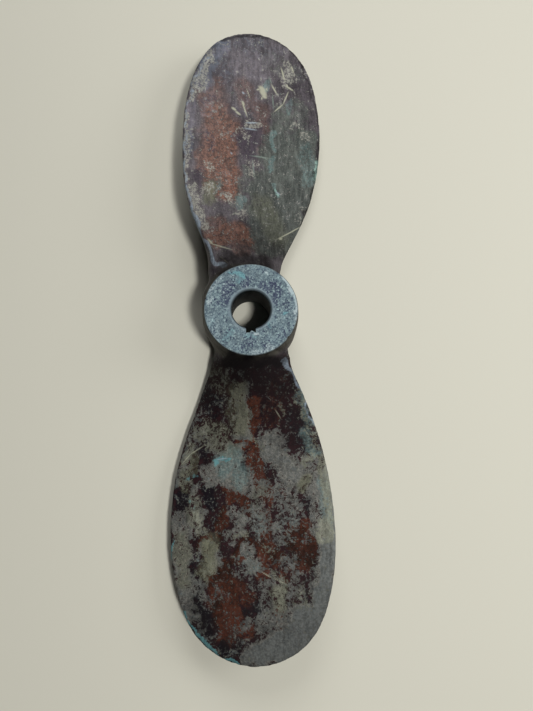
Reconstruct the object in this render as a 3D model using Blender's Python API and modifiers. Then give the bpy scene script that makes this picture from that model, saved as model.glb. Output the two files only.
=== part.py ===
"""Two-bladed ship propeller, one bronze casting, in metres.

The shaft axis is +Z and the far face of the hub lies in the plane z = 0.
The upper blade points along +Y and the lower one along -Y, and the keyway faces -Y.
"""
import math

import bmesh
import bpy
from mathutils import Vector

# Driving sizes, in metres
TIP_RADIUS = 0.165
PITCH = 0.140
HUB_LENGTH = 0.030
HUB_FACE_RADIUS = 0.0230
HUB_BELLY_RADIUS = 0.0250
HUB_RIM_ROUND = 0.0006
BORE_DIAMETER = 0.019
BORE_CHAMFER = 0.0010
# The bore's radius grows by this much towards the far face, over this depth
FAR_MOUTH_FLARE = 0.0030
FAR_MOUTH_DEPTH = 0.0095
KEYWAY_WIDTH = 0.0048
KEYWAY_DEPTH = 0.0023
# The two blades differ a little, as hand-finished castings do: in width, and in how far
# the centre line lies towards the blade's own right at the root and at the tip
UPPER_WIDTH = 0.0784
UPPER_ROOT_LEAN = -0.0042
UPPER_TIP_LEAN = 0.0037
LOWER_WIDTH = 0.0812
LOWER_ROOT_LEAN = 0.0007
LOWER_TIP_LEAN = -0.0028
# A blade is widest at this radius, and its outline would be this wide at the axis
WIDEST_RADIUS = 0.108
WIDTH_AT_AXIS = 0.0050
BLADE_ROOT_THICKNESS = 0.0105
BLADE_TIP_THICKNESS = 0.0030
EDGE_THICKNESS = 0.0022
ROOT_EDGE_THICKNESS = 0.0056
ROOT_EDGE_REACH = 0.016
ROOT_FILLET = 0.0036
ROOT_FILLET_REACH = 0.0055
# Beside the hub each edge of the blade flares out by this much
EDGE_FLARE = 0.0046
EDGE_FLARE_REACH = 0.0030
# The tip ends in a flat this wide, which the rounded outline hides
TIP_FLAT = 0.0016
# Cutters run past the faces that they cut by this much
CUT_MARGIN = 0.010

# Height of the blade centre line above the far face of the hub
BLADE_PLANE = 0.515 * HUB_LENGTH
# The helix angle stops growing inside this radius
TWIST_LIMIT_RADIUS = 0.28 * TIP_RADIUS
# The blades start here, inside the hub and outside the keyway
BLADE_START_RADIUS = 0.5 * (0.5 * BORE_DIAMETER + KEYWAY_DEPTH + HUB_FACE_RADIUS)

# How squarely the outlines turn in at the tips
UPPER_TIP_POWER = 13.4
LOWER_TIP_POWER = 17.4
# How late the blade thins, and the lean at its root gives way to the one at its tip
THINNING_POWER = 1.4
LEAN_POWER = 2.0
STATIONS = 30
SECTION_POINTS = 32
HUB_STEPS = 96


def clear_scene():
    """Remove every object, so the part starts from an empty scene."""
    for thing in list(bpy.data.objects):
        bpy.data.objects.remove(thing, do_unlink=True)


def new_collection(name):
    """Return a new collection linked to the scene."""
    group = bpy.data.collections.new(name)
    bpy.context.scene.collection.children.link(group)
    return group


def bronze():
    """Return the material of the casting."""
    material = bpy.data.materials.new("weathered_bronze")
    material.use_nodes = True
    shader = material.node_tree.nodes["Principled BSDF"]
    shader.inputs["Base Color"].default_value = (0.24, 0.15, 0.10, 1.0)
    shader.inputs["Metallic"].default_value = 0.75
    shader.inputs["Roughness"].default_value = 0.48
    return material


def mesh_object(name, points, edges, faces, group):
    """Make an object from points, edges and faces in a collection."""
    mesh = bpy.data.meshes.new(name)
    mesh.from_pydata([tuple(p) for p in points], edges, faces)
    mesh.update()
    thing = bpy.data.objects.new(name, mesh)
    group.objects.link(thing)
    return thing


def turned(name, profile, group):
    """Turn a profile of (radius, height) points, given top to bottom, about +Z."""
    points = [Vector((radius, 0.0, height)) for radius, height in profile]
    edges = [(i, i + 1) for i in range(len(points) - 1)]
    thing = mesh_object(name, points, edges, [], group)
    screw = thing.modifiers.new("turn", "SCREW")
    screw.axis = "Z"
    screw.steps = HUB_STEPS
    screw.render_steps = HUB_STEPS
    screw.use_merge_vertices = True
    screw.merge_threshold = 0.00001
    screw.use_smooth_shade = True
    return thing


def rounded_rim(radius, height, size, going_down):
    """Return the points of a quarter-round rim on the outside of the hub."""
    points = []
    steps = 4
    for i in range(steps + 1):
        angle = 0.5 * math.pi * i / steps
        if going_down:
            reach = size * (1.0 - math.sin(angle))
            drop = size * (1.0 - math.cos(angle))
            points.append((radius - reach, height - drop))
        else:
            reach = size * (1.0 - math.cos(angle))
            rise = size * (1.0 - math.sin(angle))
            points.append((radius - reach, height + rise))
    return points


def hub_profile():
    """Return the outer profile of the hub, top to bottom, with a barrelled side."""
    rim = HUB_RIM_ROUND
    points = [(0.0, HUB_LENGTH)]
    points += rounded_rim(HUB_FACE_RADIUS, HUB_LENGTH, rim, True)
    steps = 8
    for i in range(1, steps):
        share = i / steps
        height = HUB_LENGTH - rim - share * (HUB_LENGTH - 2.0 * rim)
        swell = (HUB_BELLY_RADIUS - HUB_FACE_RADIUS) * math.sin(math.pi * share)
        points.append((HUB_FACE_RADIUS + swell, height))
    points += rounded_rim(HUB_FACE_RADIUS, 0.0, rim, False)
    points.append((0.0, 0.0))
    return points


def bore_profile():
    """Return the profile of the bore cutter, chamfered near and flared far."""
    bore = 0.5 * BORE_DIAMETER
    near = bore + BORE_CHAMFER
    far = bore + FAR_MOUTH_FLARE
    slope = FAR_MOUTH_FLARE / FAR_MOUTH_DEPTH
    return [
        (0.0, HUB_LENGTH + CUT_MARGIN),
        (near + CUT_MARGIN, HUB_LENGTH + CUT_MARGIN),
        (near, HUB_LENGTH),
        (bore, HUB_LENGTH - BORE_CHAMFER),
        (bore, FAR_MOUTH_DEPTH),
        (far, 0.0),
        (far + slope * CUT_MARGIN, -CUT_MARGIN),
        (0.0, -CUT_MARGIN),
    ]


def helix_angle(radius):
    """Return the angle of the blade section to the plane of rotation."""
    return math.atan(PITCH / (2.0 * math.pi * max(radius, TWIST_LIMIT_RADIUS)))


def root_swell(radius):
    """Return how much the fillet adds to each side of the blade at a radius."""
    beyond = max(0.0, radius - HUB_FACE_RADIUS)
    return ROOT_FILLET * math.exp(-beyond / ROOT_FILLET_REACH)


def blade_share(radius):
    """Return how far along the blade a radius lies, from 0 at the hub to 1 at the tip."""
    share = (radius - HUB_FACE_RADIUS) / (TIP_RADIUS - HUB_FACE_RADIUS)
    return min(1.0, max(0.0, share))


def edge_flare(radius):
    """Return how far each edge of the blade flares out where it meets the hub."""
    beyond = max(0.0, radius - HUB_BELLY_RADIUS)
    return EDGE_FLARE * math.exp(-beyond / EDGE_FLARE_REACH)


def blade_width(radius, widest, tip_power):
    """Return the width of a blade along the helix: a parabola with a rounded tip."""
    inwards = (WIDEST_RADIUS - radius) / WIDEST_RADIUS
    parabola = widest - (widest - WIDTH_AT_AXIS) * inwards * inwards
    rounding = math.sqrt(max(0.0, 1.0 - (radius / TIP_RADIUS) ** tip_power))
    return max(TIP_FLAT, parabola * rounding + 2.0 * edge_flare(radius))


def blade_lean(radius, root_lean, tip_lean):
    """Return how far the centre line lies towards the blade's own right."""
    share = blade_share(radius)
    return root_lean * (1.0 - share) ** LEAN_POWER + tip_lean * share ** LEAN_POWER


def blade_thickness(radius):
    """Return the greatest thickness of the blade section."""
    taper = BLADE_ROOT_THICKNESS - BLADE_TIP_THICKNESS
    return BLADE_TIP_THICKNESS + taper * (1.0 - blade_share(radius)) ** THINNING_POWER


def edge_thickness(radius):
    """Return the thickness of the blunt edges, which grow stouter at the root."""
    beyond = max(0.0, radius - HUB_FACE_RADIUS)
    extra = ROOT_EDGE_THICKNESS - EDGE_THICKNESS
    return EDGE_THICKNESS + extra * math.exp(-beyond / ROOT_EDGE_REACH)


def section(radius, turn, width, lean):
    """Return the closed ring of points of the blade section at a radius."""
    angle = helix_angle(radius)
    half_width = 0.5 * width
    edge = 0.5 * min(edge_thickness(radius), 0.9 * half_width)
    middle = 0.5 * blade_thickness(radius)
    swell = root_swell(radius)
    ring = []
    for i in range(SECTION_POINTS):
        way = 2.0 * math.pi * i / SECTION_POINTS
        across = math.cos(way)
        blunt = edge * math.copysign(abs(math.sin(way)) ** 0.5, math.sin(way))
        lens = (middle - edge + swell) * math.sin(way) * abs(math.sin(way))
        along = lean + half_width * across
        off = blunt + lens
        sideways = along * math.cos(angle) + off * math.sin(angle)
        height = BLADE_PLANE - along * math.sin(angle) + off * math.cos(angle)
        bearing = sideways / radius + turn
        ring.append((radius * math.sin(bearing), radius * math.cos(bearing), height))
    return ring


def blade(name, turn, outline, lean_ends, group):
    """Loft one blade from inside the hub to its rounded tip."""
    points = []
    for i in range(STATIONS):
        share = math.sin(0.5 * math.pi * i / (STATIONS - 1))
        radius = BLADE_START_RADIUS + share * (TIP_RADIUS - BLADE_START_RADIUS)
        width = blade_width(radius, *outline)
        lean = blade_lean(radius, *lean_ends)
        points += section(radius, turn, width, lean)
    faces = []
    for i in range(STATIONS - 1):
        for j in range(SECTION_POINTS):
            k = (j + 1) % SECTION_POINTS
            low = i * SECTION_POINTS
            high = low + SECTION_POINTS
            faces.append((low + j, low + k, high + k, high + j))
    faces.append(tuple(range(SECTION_POINTS - 1, -1, -1)))
    last = (STATIONS - 1) * SECTION_POINTS
    faces.append(tuple(last + j for j in range(SECTION_POINTS)))
    thing = mesh_object(name, points, [], faces, group)
    work = bmesh.new()
    work.from_mesh(thing.data)
    bmesh.ops.recalc_face_normals(work, faces=work.faces)
    work.to_mesh(thing.data)
    work.free()
    return thing


def keyway_cutter(group):
    """Return the box that cuts the keyway along the whole bore."""
    depth = 0.5 * BORE_DIAMETER + KEYWAY_DEPTH
    bpy.ops.mesh.primitive_cube_add(size=1.0)
    thing = bpy.context.active_object
    thing.name = "keyway_cutter"
    for holder in list(thing.users_collection):
        holder.objects.unlink(thing)
    group.objects.link(thing)
    for corner in thing.data.vertices:
        corner.co.x *= KEYWAY_WIDTH
        corner.co.y = -depth if corner.co.y < 0.0 else -0.3 * BORE_DIAMETER
        corner.co.z = -CUT_MARGIN if corner.co.z < 0.0 else HUB_LENGTH + CUT_MARGIN
    return thing


def combine(body, other, operation):
    """Join or cut the body with another object, as an exact Boolean."""
    step = body.modifiers.new(operation.lower() + "_" + other.name, "BOOLEAN")
    step.operation = operation
    step.solver = "EXACT"
    step.object = other


def hide(tool):
    """Keep an operand out of renders and show it as wire."""
    tool.hide_render = True
    tool.display_type = "WIRE"


def main():
    """Build the casting and its cutters."""
    clear_scene()
    parts = new_collection("ship_propeller")
    tools = new_collection("cutters")
    casting = turned("propeller_casting", hub_profile(), parts)
    casting.data.materials.append(bronze())
    upper_outline = (UPPER_WIDTH, UPPER_TIP_POWER)
    lower_outline = (LOWER_WIDTH, LOWER_TIP_POWER)
    upper_lean = (UPPER_ROOT_LEAN, UPPER_TIP_LEAN)
    lower_lean = (LOWER_ROOT_LEAN, LOWER_TIP_LEAN)
    blades = [
        blade("upper_blade", 0.0, upper_outline, upper_lean, tools),
        blade("lower_blade", math.pi, lower_outline, lower_lean, tools),
    ]
    bore = turned("bore_cutter", bore_profile(), tools)
    keyway = keyway_cutter(tools)
    for one in blades:
        combine(casting, one, "UNION")
    combine(casting, bore, "DIFFERENCE")
    combine(casting, keyway, "DIFFERENCE")
    for tool in blades + [bore, keyway]:
        hide(tool)


main()
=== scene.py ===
"""Weathered two-bladed ship propeller, dressed over its packed casting.

Lengths are in metres in the casting's own frame: the shaft axis is +Z, the hub's far face
lies in z = 0, the upper blade points along +Y and the keyway faces -Y. The stains and the
marks of the finish are laid out in the same frame, in millimetres.
"""

import logging
import math
from dataclasses import dataclass, field
from enum import Enum
from typing import Iterable, Sequence

import bmesh
import bpy
import numpy as np
from mathutils import Matrix, Vector

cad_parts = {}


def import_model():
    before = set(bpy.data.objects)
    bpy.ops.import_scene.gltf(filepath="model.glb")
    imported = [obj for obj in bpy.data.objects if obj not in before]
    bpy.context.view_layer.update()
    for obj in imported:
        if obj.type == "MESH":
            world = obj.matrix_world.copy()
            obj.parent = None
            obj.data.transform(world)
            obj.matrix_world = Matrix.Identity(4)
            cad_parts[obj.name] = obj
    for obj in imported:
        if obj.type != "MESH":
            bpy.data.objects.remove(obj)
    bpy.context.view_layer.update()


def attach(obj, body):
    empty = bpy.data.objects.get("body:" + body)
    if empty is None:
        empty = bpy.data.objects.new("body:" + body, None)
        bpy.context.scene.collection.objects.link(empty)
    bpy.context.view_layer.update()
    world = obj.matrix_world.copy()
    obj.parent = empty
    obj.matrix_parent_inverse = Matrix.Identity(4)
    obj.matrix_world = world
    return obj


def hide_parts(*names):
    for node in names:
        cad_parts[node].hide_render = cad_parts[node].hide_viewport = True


LOG = logging.getLogger("propeller")
MM = 0.001
CAD_NODE = "propeller_casting"
PIECE_NAME = "cast_propeller"

Point = tuple[float, float]
Triple = tuple[float, float, float]
Tone = tuple[int, int, int]
Solid = bpy.types.Object
Socket = bpy.types.NodeSocket
Value = float | Tone | Socket


def linear(shown: Tone) -> Triple:
    """Return the linear colour of a display tone with parts from 0 to 255."""
    parts = [value / 255.0 for value in shown]
    return tuple(part / 12.92 if part <= 0.04045 else ((part + 0.055) / 1.055) ** 2.4 for part in parts)


def select_only(*things: Solid) -> None:
    """Leave edit mode, and select only these objects.

    Args:
        things: The objects, of which the first becomes the active one. None deselects all.
    """
    if bpy.context.object and bpy.context.object.mode != "OBJECT":
        bpy.ops.object.mode_set(mode="OBJECT")
    bpy.ops.object.select_all(action="DESELECT")
    for thing in things:
        thing.select_set(True)
    if things:
        bpy.context.view_layer.objects.active = things[0]


def edit(thing: Solid) -> None:
    """Take one object into edit mode, to work on its vertices.

    Args:
        thing: The mesh object.
    """
    select_only(thing)
    bpy.ops.object.mode_set(mode="EDIT")
    bpy.ops.mesh.select_mode(type="VERT")


def apply_modifiers(thing: Solid) -> None:
    """Apply every modifier of an object, in order.

    Args:
        thing: The object to finish.
    """
    select_only(thing)
    for step in list(thing.modifiers):
        bpy.ops.object.modifier_apply(modifier=step.name)


def rows_of(thing: Solid, kind: str) -> np.ndarray:
    """Return the positions or the normals of a mesh's vertices.

    Args:
        thing: The mesh object.
        kind: "co" for the positions, or "normal".

    Returns:
        One row of x, y and z for each vertex.
    """
    flat = np.zeros(len(thing.data.vertices) * 3, np.float32)
    thing.data.vertices.foreach_get(kind, flat)
    return flat.reshape(-1, 3).astype(float)


def place_points(thing: Solid, points: np.ndarray) -> None:
    """Write vertex positions, one row for each vertex, back to a mesh object."""
    thing.data.vertices.foreach_set("co", points.astype(np.float32).ravel())
    thing.data.update()


def pick_vertices(thing: Solid, chosen: Iterable[bool]) -> None:
    """Select vertices in edit mode, and deselect the others.

    Args:
        thing: The object in edit mode.
        chosen: One truth value for each vertex.
    """
    work = bmesh.from_edit_mesh(thing.data)
    for vertex, wanted in zip(work.verts, chosen):
        vertex.select = bool(wanted)
    work.select_flush_mode()
    bmesh.update_edit_mesh(thing.data)


def eased(values: np.ndarray, low: float, high: float) -> np.ndarray:
    """Return values eased from 0 at low to 1 at high."""
    share = np.clip((values - low) / (high - low), 0.0, 1.0)
    return share * share * (3.0 - 2.0 * share)


def within(values: np.ndarray, rise: Point, fall: Point) -> np.ndarray:
    """Return values eased up to 1 over the rise, and back down to 0 over the fall."""
    return eased(values, *rise) * (1.0 - eased(values, *fall))


def path_distance(places: np.ndarray, path: Sequence[Point]) -> np.ndarray:
    """Return each place's distance to a path of straight stretches.

    Args:
        places: One row of x and y for each place.
        path: The path's corners.

    Returns:
        The distances.
    """
    nearest = np.full(len(places), np.inf)
    corners = [np.array(corner) for corner in path]
    for start, end in zip(corners, corners[1:]):
        along = end - start
        share = np.clip((places - start) @ along / float(along @ along), 0.0, 1.0)
        gap = places - start - share[:, None] * along
        nearest = np.minimum(nearest, np.hypot(gap[:, 0], gap[:, 1]))
    return nearest


def lathe(profile: Sequence[Point], sides: int) -> Solid:
    """Build a closed solid round the shaft axis by raising rings from a disc.

    Args:
        profile: The radius and height of each ring, from the first end to the last.
        sides: How many sides a ring has.

    Returns:
        The closed solid.
    """
    select_only()
    radius, height = profile[0]
    bpy.ops.mesh.primitive_circle_add(
        vertices=sides, radius=radius, fill_type="NGON", location=(0.0, 0.0, height)
    )
    solid = bpy.context.active_object
    bpy.ops.object.transform_apply(location=True, rotation=True, scale=True)
    bpy.ops.object.mode_set(mode="EDIT")
    bpy.ops.mesh.select_all(action="SELECT")
    for (radius, height), (next_radius, next_height) in zip(profile, profile[1:]):
        rise = {"value": (0.0, 0.0, next_height - height)}
        bpy.ops.mesh.extrude_region_move(TRANSFORM_OT_translate=rise)
        grow = next_radius / radius
        bpy.ops.transform.resize(value=(grow, grow, 1.0), center_override=(0.0, 0.0, 0.0))
    bpy.ops.mesh.select_all(action="SELECT")
    bpy.ops.mesh.normals_make_consistent(inside=False)
    bpy.ops.object.mode_set(mode="OBJECT")
    return solid


def carve(body: Solid, cutter: Solid) -> None:
    """Cut one solid out of another, and remove the cutter.

    Args:
        body: The solid that is cut.
        cutter: The solid that cuts.
    """
    cut = body.modifiers.new("machining", "BOOLEAN")
    cut.operation = "DIFFERENCE"
    cut.solver = "EXACT"
    cut.object = cutter
    apply_modifiers(body)
    bpy.data.objects.remove(cutter, do_unlink=True)


@dataclass
class Hub:
    """The barrelled hub with its turned faces, its bore and its keyway.

    facing_centre is a share of facing_start, and keyway_start one of the bore's diameter.
    """

    length: float = 30.0 * MM
    face_radius: float = 23.0 * MM
    belly_radius: float = 24.4 * MM
    rim_bevel: float = 0.45 * MM
    bore_diameter: float = 19.0 * MM
    chamfer: float = 1.0 * MM
    chamfer_margin: float = 0.4 * MM
    far_flare: float = 3.0 * MM
    far_depth: float = 9.5 * MM
    keyway_width: float = 4.8 * MM
    keyway_depth: float = 2.3 * MM
    keyway_start: float = 0.3
    burr_width: float = 1.3 * MM
    burr_height: float = 1.1 * MM
    burr_slant: float = 0.3 * MM
    facing: float = 0.8 * MM
    facing_start: float = 8.0 * MM
    facing_centre: float = 0.02
    facing_step: float = 1.2 * MM
    facing_reach: float = 3.0 * MM
    bore_reach: float = 5.0 * MM
    slack: float = 0.1 * MM
    sides: int = 128
    rings: int = 16

    def blank(self) -> Solid:
        """Build the solid hub, a little longer than the finished one at both ends.

        Returns:
            The closed hub without its bore.
        """
        swell = self.belly_radius - self.face_radius
        profile = [(self.face_radius, -self.facing)]
        for ring in range(self.rings + 1):
            share = ring / self.rings
            profile.append((self.face_radius + swell * math.sin(math.pi * share), self.length * share))
        profile.append((self.face_radius, self.length + self.facing))
        return lathe(profile, self.sides)

    def facing_cutter(self, near: bool) -> Solid:
        """Build the tool that turns one face flat and bevels its rim.

        Args:
            near: Whether it cuts the face that is seen.

        Returns:
            The closed cutter.
        """
        flat = self.face_radius - self.rim_bevel
        bevelled = flat + 2.0 * self.rim_bevel
        steps = int((flat - self.facing_start) / self.facing_step) + 1
        profile = [(self.facing_centre * self.facing_start, 0.0)]
        profile += [(self.facing_start + step * self.facing_step, 0.0) for step in range(steps)]
        profile += [(flat, 0.0), (bevelled, -2.0 * self.rim_bevel)]
        profile += [(bevelled, self.facing_reach), (self.facing_start, self.facing_reach)]
        if near:
            placed = [(radius, self.length + height) for radius, height in profile]
        else:
            placed = [(radius, -height) for radius, height in profile]
        return lathe(placed, self.sides)

    def bore_cutter(self) -> Solid:
        """Build the bore's cutter: chamfered at the near mouth, flared at the far one.

        Returns:
            The closed cutter.
        """
        bore = 0.5 * self.bore_diameter
        past = self.bore_reach
        slope = self.far_flare / self.far_depth
        profile = [
            (bore + self.far_flare + slope * past, -past),
            (bore, self.far_depth),
            (bore, self.length - self.chamfer - self.chamfer_margin),
            (bore, self.length - self.chamfer),
            (bore + self.chamfer + past, self.length + past),
        ]
        return lathe(profile, self.sides)

    def keyway_cutter(self) -> Solid:
        """Build the keyway's cutter, with a groove in its floor that leaves a small burr.

        Returns:
            The closed cutter.
        """
        floor = 0.5 * self.bore_diameter + self.keyway_depth
        inner = self.keyway_start * self.bore_diameter
        half_burr = 0.5 * self.burr_width
        select_only()
        bpy.ops.mesh.primitive_cube_add(
            size=1.0,
            location=(0.0, -0.5 * (floor + inner), 0.5 * self.length),
            scale=(self.keyway_width, floor - inner, self.length + 2.0 * self.bore_reach),
        )
        cutter = bpy.context.active_object
        bpy.ops.object.transform_apply(location=True, rotation=True, scale=True)
        edit(cutter)
        for place in (-half_burr, half_burr):
            bpy.ops.mesh.select_all(action="SELECT")
            bpy.ops.mesh.bisect(plane_co=(place, 0.0, 0.0), plane_no=(1.0, 0.0, 0.0))
        bpy.ops.object.mode_set(mode="OBJECT")
        across, along, _ = rows_of(cutter, "co").T
        edit(cutter)
        on_floor = (along < self.slack - floor) & (across > 0.0)
        pick_vertices(cutter, on_floor & (across < half_burr + self.slack))
        bpy.ops.transform.translate(value=(-self.burr_slant, self.burr_height, 0.0))
        bpy.ops.object.mode_set(mode="OBJECT")
        return cutter

    def machine(self, casting: Solid) -> None:
        """Turn both faces of the casting's hub, and cut its bore and its keyway.

        Args:
            casting: The solid casting.
        """
        faces = self.facing_cutter(near=True), self.facing_cutter(near=False)
        for cutter in (*faces, self.bore_cutter(), self.keyway_cutter()):
            carve(casting, cutter)


@dataclass
class Blade:
    """One helical blade, shaped as a twisted sheet that is then given its thickness.

    trim lists radius, left and right: how far the blade's own edges lie beyond the plain outline.
    edge_limit is the thickest that the edges may be, as a share of the blade's width.
    """

    name: str
    hub: Hub
    turn: float
    width: float
    tip_power: float
    root_lean: float
    tip_lean: float
    trim: Sequence[Triple]
    tip_radius: float = 165.0 * MM
    pitch: float = 140.0 * MM
    twist_limit_radius: float = 46.2 * MM
    start_radius: float = 17.4 * MM
    widest_radius: float = 108.0 * MM
    width_at_axis: float = 5.0 * MM
    root_thickness: float = 10.5 * MM
    tip_thickness: float = 3.0 * MM
    thinning_power: float = 1.4
    edge_thickness: float = 2.2 * MM
    root_edge_thickness: float = 5.6 * MM
    root_edge_reach: float = 16.0 * MM
    edge_limit: float = 0.45
    fillet: float = 3.6 * MM
    fillet_reach: float = 5.5 * MM
    edge_flare: float = 4.6 * MM
    flare_reach: float = 3.0 * MM
    tip_flat: float = 1.6 * MM
    plane_share: float = 0.515
    stations: int = 30
    columns: Sequence[float] = (0.0, 0.2, 0.4, 0.6, 0.78, 0.91, 0.975, 1.0)
    heaviest: float = 20.0 * MM
    rounding: int = 2

    def station_radius(self, station: int) -> float:
        """Return the radius of a station, which lie closer together towards the tip."""
        share = math.sin(0.5 * math.pi * station / self.stations)
        return self.start_radius + share * (self.tip_radius - self.start_radius)

    def share(self, radius: float) -> float:
        """Return how far along the blade a radius lies, from 0 at the hub to 1 at the tip."""
        share = (radius - self.hub.face_radius) / (self.tip_radius - self.hub.face_radius)
        return min(1.0, max(0.0, share))

    def helix_angle(self, radius: float) -> float:
        """Return the angle of the blade to the plane of rotation."""
        return math.atan(self.pitch / (2.0 * math.pi * max(radius, self.twist_limit_radius)))

    def plain_width(self, radius: float) -> float:
        """Return the width along the helix, with the flares beside the hub.

        Args:
            radius: The distance from the shaft axis.

        Returns:
            The width there.
        """
        inwards = (self.widest_radius - radius) / self.widest_radius
        parabola = self.width - (self.width - self.width_at_axis) * inwards * inwards
        rounding = math.sqrt(max(0.0, 1.0 - (radius / self.tip_radius) ** self.tip_power))
        beyond = max(0.0, radius - self.hub.belly_radius)
        flare = self.edge_flare * math.exp(-beyond / self.flare_reach)
        return max(self.tip_flat, parabola * rounding + 2.0 * flare)

    def edges_at(self, radius: float) -> Point:
        """Return the places of the blade's own left and right edges along the helix.

        Args:
            radius: The distance from the shaft axis.

        Returns:
            The left place, mostly negative, and the right one.
        """
        share = self.share(radius)
        lean = self.root_lean * (1.0 - share) ** 2 + self.tip_lean * share ** 2
        half = 0.5 * self.plain_width(radius)
        radii, lefts, rights = zip(*self.trim)
        left = float(np.interp(radius, radii, lefts))
        right = float(np.interp(radius, radii, rights))
        return lean - half - left, lean + half + right

    def thickness_at(self, radius: float, across: float) -> float:
        """Return the thickness at a radius and a share of the half width.

        Args:
            radius: The distance from the shaft axis.
            across: 0 on the centre line and 1 at the edge.

        Returns:
            The thickness there.
        """
        beyond = max(0.0, radius - self.hub.face_radius)
        extra = self.root_edge_thickness - self.edge_thickness
        edge = self.edge_thickness + extra * math.exp(-beyond / self.root_edge_reach)
        edge = min(edge, self.edge_limit * self.plain_width(radius))
        thinning = (1.0 - self.share(radius)) ** self.thinning_power
        taper = (self.root_thickness - self.tip_thickness) * thinning
        swell = 2.0 * self.fillet * math.exp(-beyond / self.fillet_reach)
        middle = self.tip_thickness + taper + swell
        return edge + (middle - edge) * (1.0 - across * across)

    def sheet(self) -> Solid:
        """Build the blade's middle sheet, row by row, with its width, lean and twist.

        Returns:
            The open sheet, with a vertex group that holds its thickness.
        """
        half = len(self.columns) - 1
        select_only()
        bpy.ops.mesh.primitive_grid_add(x_subdivisions=2 * half, y_subdivisions=self.stations, size=2.0)
        sheet = bpy.context.active_object
        sheet.name = self.name
        flat = rows_of(sheet, "co")
        column = np.rint((flat[:, 0] + 1.0) * half).astype(int)
        row = np.rint((flat[:, 1] + 1.0) * 0.5 * self.stations).astype(int)
        edit(sheet)
        for step in range(1, half):
            pick_vertices(sheet, np.abs(column - half) == step)
            grow = self.columns[step] * half / step
            bpy.ops.transform.resize(value=(grow, 1.0, 1.0), center_override=(0.0, 0.0, 0.0))
        for station in range(self.stations + 1):
            radius = self.station_radius(station)
            height = 2.0 * station / self.stations - 1.0
            left, right = self.edges_at(radius)
            pick_vertices(sheet, row == station)
            reach = 0.5 * (right - left)
            bpy.ops.transform.resize(value=(reach, 1.0, 1.0), center_override=(0.0, height, 0.0))
            bpy.ops.transform.translate(value=(0.5 * (left + right), radius - height, 0.0))
            # Without a window this operator turns the other way, hence the minus sign
            bpy.ops.transform.rotate(
                value=-self.helix_angle(radius), orient_axis="Y", center_override=(0.0, radius, 0.0)
            )
        bpy.ops.object.mode_set(mode="OBJECT")
        weights = sheet.vertex_groups.new(name="thickness")
        for index in range(len(flat)):
            across = self.columns[abs(column[index] - half)]
            thickness = self.thickness_at(self.station_radius(row[index]), across)
            weights.add([index], min(1.0, thickness / self.heaviest), "REPLACE")
        return sheet

    def build(self) -> Solid:
        """Build the solid blade: the sheet is curved round the shaft, thickened and rounded.

        Returns:
            The closed blade.
        """
        blade = self.sheet()
        flat = rows_of(blade, "co")
        radius = flat[:, 1]
        bearing = flat[:, 0] / radius + self.turn
        height = flat[:, 2] + self.plane_share * self.hub.length
        place_points(blade, np.stack([radius * np.sin(bearing), radius * np.cos(bearing), height], 1))
        wall = blade.modifiers.new("wall", "SOLIDIFY")
        wall.thickness = self.heaviest
        wall.offset = 0.0
        wall.vertex_group = "thickness"
        wall.use_quality_normals = True
        rounding = blade.modifiers.new("rounding", "SUBSURF")
        rounding.levels = self.rounding
        rounding.render_levels = self.rounding
        apply_modifiers(blade)
        return blade


class Layer(Enum):
    """The layers of the painted finish, painted shade and highlights among them, each with its own named
    attribute.
    """

    LOWER = "lower_blade"
    COPPER = "bare_copper"
    PATINA = "grey_patina"
    VIOLET = "violet_stain"
    RUST = "red_oxide"
    TEAL = "teal_film"
    OLIVE = "olive_film"
    VERDIGRIS = "verdigris"
    CRUST = "pale_crust"
    # A pinkish film that also carries painted sheen on the upper blade's left side and tip
    PINK = "pink_film_and_painted_sheen"
    # Dark grime, which is partly painted shade in the creases where the blades' roots meet the hub
    GRIME_AND_SHADE = "root_grime_and_shade"
    # Painted highlight along the raised edges beside the roots and up the upper blade's left edge
    LEDGE_HIGHLIGHT = "painted_ledge_highlight"
    FACE = "turned_face"
    FLANK = "hub_flank"
    # Painted shade: the bore, its flare and the keyway are painted near-black
    BORE = "painted_bore_shade"
    STAIN = "face_stain"
    GREEN = "face_verdigris"
    # Pale wear spots on the hub's faces, and painted highlight along the near face's rim
    PALE = "face_wear_and_highlight"
    # Edge wear on the blades, and painted highlight round the rims of the hub's turned faces
    EDGE = "edge_wear_and_highlight"
    # Painted shade: darker round the hub and the blades' roots, and towards the lower blade's tip
    PAINTED_SHADE = "painted_shade"
    # Painted highlight on the bore's chamfered mouth
    MOUTH = "painted_mouth_highlight"
    CREAM_MARK = "cream_marks"
    GREEN_MARK = "green_marks"
    BLUE_MARK = "blue_marks"


@dataclass(frozen=True)
class Stain:
    """A soft-edged stain, painted shade or painted highlight along a path, in millimetres across the
    casting.
    """

    reach: float
    strength: float
    path: Sequence[Point]
    core: float = 0.55
    border: float = 1.35

    def over(self, places: np.ndarray) -> np.ndarray:
        """Return the stain's strength at each place, which fades out at its border."""
        gap = path_distance(places, self.path)
        return self.strength * (1.0 - eased(gap, self.core * self.reach, self.border * self.reach))


@dataclass(frozen=True)
class Mark:
    """A fine scratch or spot, in millimetres across the near side."""

    half_width: float
    start: Point
    end: Point
    shortest: float = 0.2
    core: float = 0.5
    border: float = 1.35

    def over(self, places: np.ndarray) -> np.ndarray:
        """Return the mark's strength at each place, which tapers towards its ends.

        Args:
            places: One row of x and y in millimetres for each place.

        Returns:
            The strengths.
        """
        start, end = np.array(self.start), np.array(self.end)
        length = max(float(np.linalg.norm(end - start)), self.shortest)
        along = (end - start) / length
        offset = places - 0.5 * (start + end)
        forth = offset @ along / (0.5 * length + self.half_width)
        aside = (offset @ np.array([-along[1], along[0]])) / self.half_width
        return 1.0 - eased(np.hypot(forth, aside), self.core, self.border)


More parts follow.
